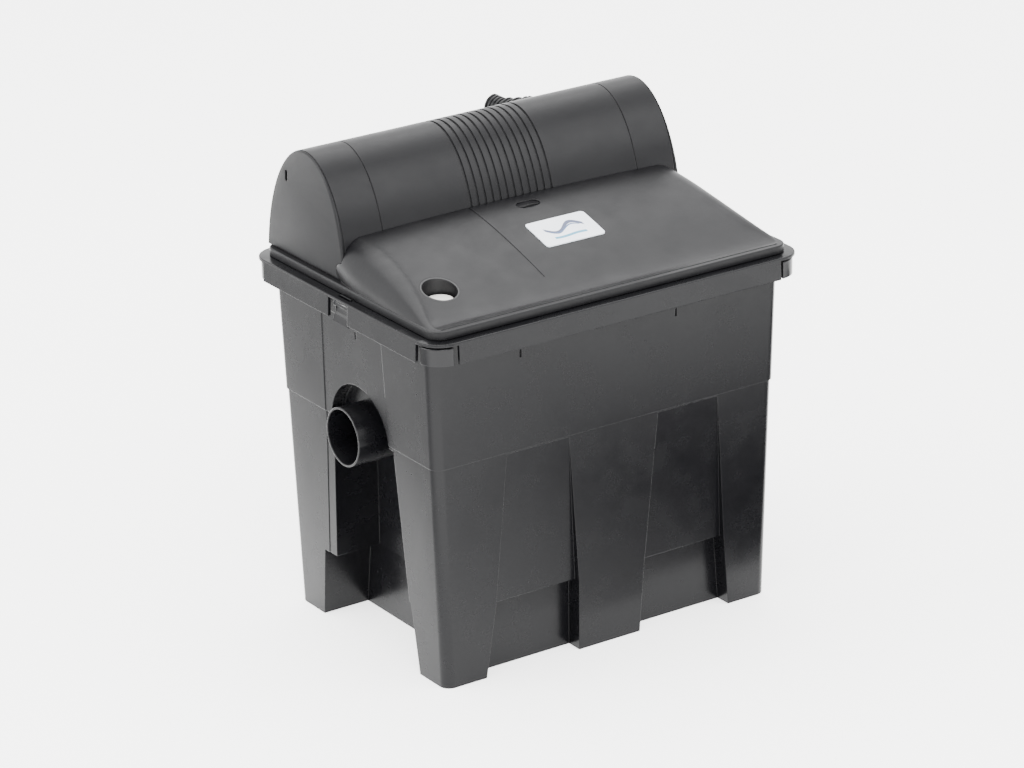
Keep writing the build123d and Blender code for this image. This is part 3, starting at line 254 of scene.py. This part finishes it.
def print_film(name, light, dark):
    """Printed label film with a faint weave of print dots."""
    t = Tree(name)
    dots = t.noise(700.0, 2.0)
    base = t.ramp(t.noise(45.0, 3.0), [(0.3, dark), (0.7, light)])
    base = t.mix(t.remap(dots, 0.0, 0.06), base, (0.5, 0.5, 0.52))
    low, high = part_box("label_plate")
    split = t.add("ShaderNodeSeparateXYZ")
    t.link(t.coords, split.inputs[0])
    across, up = [t.math("DIVIDE", t.math("SUBTRACT", split.outputs[axis], (low[i] + high[i]) / 2),
                         (high[i] - low[i]) / 2) for i, axis in enumerate("XY")]
    for centre, swing, rate, half, reach, ink in MARK:
        curve = t.math("MULTIPLY", t.math("SINE", t.math("MULTIPLY", across, rate)), swing)
        off = t.math("ABSOLUTE", t.math("SUBTRACT", t.math("SUBTRACT", up, curve), centre))
        line = t.remap(off, 1.0, 0.0, half * 0.8, half)
        ends = t.remap(t.math("ABSOLUTE", across), 1.0, 0.0, reach * 0.96, reach)
        base = t.mix(t.math("MULTIPLY", line, ends), base, ink)
    t.link(base, t.bsdf.inputs["Base Color"])
    t.link(t.remap(dots, 0.26, 0.34), t.bsdf.inputs["Roughness"])
    t.link(t.bump(dots, 0.08, 0.05 * MM), t.bsdf.inputs["Normal"])
    t.bsdf.inputs["Coat Weight"].default_value = 0.3
    return t.mat


def grey(tone):
    """Near-black plastic tone with a trace of blue."""
    return (tone, tone, tone + 0.0006)


TUB = moulded("tub_plastic", grey(0.0018), grey(0.0028), 0.24, 0.14, 1400.0, dust=0.0008, spec=0.19)
COVER = moulded("cover_plastic", grey(0.0020), grey(0.0030), 0.34, 0.40, 1100.0, dust=0.003, spec=0.19)
CAPS = moulded("cap_plastic", grey(0.0010), grey(0.002), 0.15, 0.10, 900.0, dust=0.004, spec=0.26)
PIPE = moulded("pipe_plastic", grey(0.0015), grey(0.003), 0.26, 0.15, 900.0, dust=0.006, spec=0.3)
INNER = moulded("inner_plastic", grey(0.005), grey(0.008), 0.38, 0.35, 1200.0, dust=0.012, spec=0.4)
FLOATER = moulded("float_plastic", (0.55, 0.53, 0.50), (0.68, 0.66, 0.63), 0.35, 0.2, 900.0, dust=0.12)
SOCKET = moulded("socket_ceramic", (0.6, 0.59, 0.55), (0.7, 0.69, 0.65), 0.3, 0.1, 700.0)
SEAL = rubber("seal_rubber", 0.004)
STEEL = metal("pin_steel", 0.6, 0.3)
QUARTZ = glass("quartz_glass", (0.92, 0.96, 0.98), 0.02)
LAMP = glass("lamp_glass", (0.9, 0.93, 0.97), 0.35)
BLUE_FOAM = foam("coarse_foam", (0.004, 0.02, 0.10), (0.02, 0.13, 0.42), 330.0)
RED_FOAM = foam("fine_foam", (0.09, 0.01, 0.006), (0.42, 0.06, 0.035), 560.0)
LABEL = print_film("label_film", (0.74, 0.77, 0.81), (0.66, 0.70, 0.76))

SLOT_MATERIAL = {
    "cap_plastic": CAPS, "housing_plastic": TUB, "lid_plastic": COVER,
    "pipe_plastic": PIPE, "seal_rubber": SEAL,
    "label_film": LABEL, "float_plastic": FLOATER, "quartz_glass": QUARTZ, "lamp_glass": LAMP,
    "socket_ceramic": SOCKET, "pin_steel": STEEL, "coarse_foam": BLUE_FOAM, "fine_foam": RED_FOAM,
    "retainer_plastic": INNER,
}
INNER_NODES = {"base_grate", "outlet_baffle", "spray_tray", "uvc_housing", "uvc_spout", "uvc_saddles",
               "indicator_well", "outlet_lock_nut", "drain_socket", "cable_gland"}
SLOT_OF = {s["node"]: s["material_slot"] for s in frame["record"]["subparts"]}


for name, obj in NODES.items():
    material = INNER if name in INNER_NODES else SLOT_MATERIAL[SLOT_OF[name]]
    obj.data.materials.clear()
    obj.data.materials.append(material)
    if "custom_normal" in obj.data.attributes:
        obj.data.attributes.remove(obj.data.attributes["custom_normal"])
    weld = obj.modifiers.new("weld", "WELD")
    weld.merge_threshold = WELD_DISTANCE
    obj.data.polygons.foreach_set("use_smooth", [True] * len(obj.data.polygons))
    split = obj.modifiers.new("corners", "EDGE_SPLIT")
    split.split_angle = CORNER_ANGLE


# ---------------------------------------------------------------- filter foams
def foam_pad(name):
    """Open-cell pad in place of a foam solid: soft corners, pulled-in sides, ragged cut surface."""
    source = NODES[name]
    pad = bpy.data.objects.new(name + "_pad", source.data.copy())
    bpy.context.collection.objects.link(pad)
    pad.matrix_world = source.matrix_world
    pad.modifiers.clear()
    grid = pad.modifiers.new("grid", "REMESH")
    grid.mode = "VOXEL"
    grid.voxel_size = PAD_VOXEL
    graph = bpy.context.evaluated_depsgraph_get()
    mesh = bpy.data.meshes.new_from_object(pad.evaluated_get(graph))
    pad.modifiers.clear()
    bm = bmesh.new()
    bm.from_mesh(mesh)
    bmesh.ops.smooth_vert(bm, verts=bm.verts, factor=0.5,
                          use_axis_x=True, use_axis_y=True, use_axis_z=True)
    bm.normal_update()
    for vert in bm.verts:
        ragged = noise.noise(vert.co * PAD_RAGGED_SCALE) * 0.5 + 0.5
        pulled = noise.noise(vert.co * PAD_PULL_SCALE + Vector((3.1, 1.7, 0.4))) * 0.5 + 0.5
        vert.co -= vert.normal * (PAD_MIN + PAD_RAGGED * ragged + PAD_PULL * pulled)
    bm.to_mesh(mesh)
    bm.free()
    mesh.polygons.foreach_set("use_smooth", [True] * len(mesh.polygons))
    mesh.materials.clear()
    mesh.materials.append(SLOT_MATERIAL[SLOT_OF[name]])
    pad.data = mesh
    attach(pad, "tub")
    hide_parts(name)


for foam_name in ("fine_foam_1", "fine_foam_2", "coarse_foam_3", "coarse_foam_4"):
    foam_pad(foam_name)


# ---------------------------------------------------------------- camera, floor and light
def aim(obj, location, target):
    obj.location = location
    direction = Vector(target) - Vector(location)
    obj.rotation_euler = direction.to_track_quat("-Z", "Y").to_euler()


def camera():
    """Camera at the photograph's viewing angle."""
    yaw, pitch, roll = (math.radians(v) for v in CAMERA_TURN)
    place = Vector(CAMERA_PLACE)
    forward = Vector((math.cos(pitch) * math.sin(yaw), math.cos(pitch) * math.cos(yaw), math.sin(pitch)))
    right = forward.cross(Vector((0, 0, 1))).normalized()
    up = right.cross(forward)
    side = right * math.cos(roll) + up * math.sin(roll)
    top = up * math.cos(roll) - right * math.sin(roll)
    data = bpy.data.cameras.new("camera")
    data.sensor_width = CAMERA_SENSOR
    data.lens = CAMERA_LENS
    data.clip_start = 0.05
    data.clip_end = 50.0
    obj = bpy.data.objects.new("camera", data)
    bpy.context.collection.objects.link(obj)
    rotation = Matrix((side, top, -forward)).transposed().to_4x4()
    obj.matrix_world = Matrix.Translation(place) @ rotation
    bpy.context.scene.camera = obj


def area_light(name, location, target, size, power):
    data = bpy.data.lights.new(name, "AREA")
    data.shape = "RECTANGLE"
    data.size = size
    data.size_y = size
    data.energy = power
    obj = bpy.data.objects.new(name, data)
    bpy.context.collection.objects.link(obj)
    aim(obj, location, target)


def floor():
    """Plain pale floor with a slight, even mottling."""
    t = Tree("floor_paper")
    tone = t.noise(1.5, 3.0)
    paper = t.ramp(tone, [(0.3, (0.88, 0.88, 0.87)), (0.7, (0.91, 0.91, 0.90))])
    t.link(paper, t.bsdf.inputs["Base Color"])
    t.bsdf.inputs["Emission Color"].default_value = (1.0, 1.0, 1.0, 1)
    t.bsdf.inputs["Emission Strength"].default_value = FLOOR_GLOW
    t.link(t.remap(tone, 0.55, 0.7), t.bsdf.inputs["Roughness"])
    t.bsdf.inputs["Specular IOR Level"].default_value = 0.25
    bm = bmesh.new()
    bmesh.ops.create_grid(bm, x_segments=24, y_segments=24, size=9.0)
    mesh = bpy.data.meshes.new("floor")
    bm.to_mesh(mesh)
    bm.free()
    obj = bpy.data.objects.new("floor", mesh)
    bpy.context.collection.objects.link(obj)
    mesh.materials.append(t.mat)


def flag(name, centre, span, start, full, far, near, strength):
    """Dark card low beside the part, seen only in reflections, as studios use to shape gloss."""
    t = Tree(name + "_cloth")
    split = t.add("ShaderNodeSeparateXYZ")
    t.link(t.coords, split.inputs[0])
    weave = t.noise(300.0, 2.0)
    cover = t.remap(split.outputs["X"], 0.0, strength, start, full)
    fade = t.remap(split.outputs["Y"], 0.0, 1.0, far, near)
    t.link(t.math("MULTIPLY", cover, fade), t.bsdf.inputs["Alpha"])
    t.link(t.ramp(weave, [(0.3, 0.004), (0.7, 0.008)]), t.bsdf.inputs["Base Color"])
    t.bsdf.inputs["Roughness"].default_value = 0.9
    t.bsdf.inputs["Specular IOR Level"].default_value = 0.0
    bm = bmesh.new()
    bmesh.ops.create_grid(bm, x_segments=12, y_segments=8, size=0.5)
    bmesh.ops.scale(bm, vec=(span[0], span[1], 1.0), verts=bm.verts)
    bmesh.ops.translate(bm, vec=(centre[0], centre[1], 4 * MM), verts=bm.verts)
    mesh = bpy.data.meshes.new(name)
    bm.to_mesh(mesh)
    bm.free()
    mesh.materials.append(t.mat)
    obj = bpy.data.objects.new(name, mesh)
    bpy.context.collection.objects.link(obj)
    obj.visible_camera = False
    obj.visible_shadow = False
    obj.visible_diffuse = False


def world():
    scene_world = bpy.data.worlds.new("studio")
    scene_world.use_nodes = True
    nodes, links = scene_world.node_tree.nodes, scene_world.node_tree.links
    back = nodes["Background"]
    coords = nodes.new("ShaderNodeTexCoord")
    dot = nodes.new("ShaderNodeVectorMath")
    dot.operation = "DOT_PRODUCT"
    dot.inputs[1].default_value = Vector((-0.72, 0.30, 0.62)).normalized()
    links.new(coords.outputs["Generated"], dot.inputs[0])
    ramp = nodes.new("ShaderNodeValToRGB")
    stops = ramp.color_ramp.elements
    stops[0].position, stops[0].color = 0.0, (0.66, 0.66, 0.67, 1)
    stops[1].position, stops[1].color = 1.0, (1.0, 1.0, 1.0, 1)
    half = nodes.new("ShaderNodeMapRange")
    half.inputs["From Min"].default_value = -0.9
    half.inputs["From Max"].default_value = 0.9
    links.new(dot.outputs["Value"], half.inputs["Value"])
    links.new(half.outputs[0], ramp.inputs[0])
    links.new(ramp.outputs[0], back.inputs[0])
    back.inputs[1].default_value = WORLD_STRENGTH
    bpy.context.scene.world = scene_world


camera()
floor()
world()
area_light("key_left", (-2.4, 0.5, 1.7), (0, 0, 0.2), 1.8, 75.0)
area_light("top", (0.3, 0.9, 2.6), (0, 0, 0.2), 2.4, 60.0)
area_light("front", (-0.9, -2.6, 1.6), (0, 0, 0.15), 1.4, 45.0)
area_light("fill_right", (1.5, -1.9, 2.2), (0, 0, 0.3), 1.8, 45.0)
flag("flag_right", (0.45, -0.47), (1.1, 0.62), -0.10, 0.22, -0.70, -0.36, 0.97)
flag("flag_left", (-0.75, 0.45), (1.1, 1.5), -0.20, -0.40, -0.30, 0.05, 0.62)
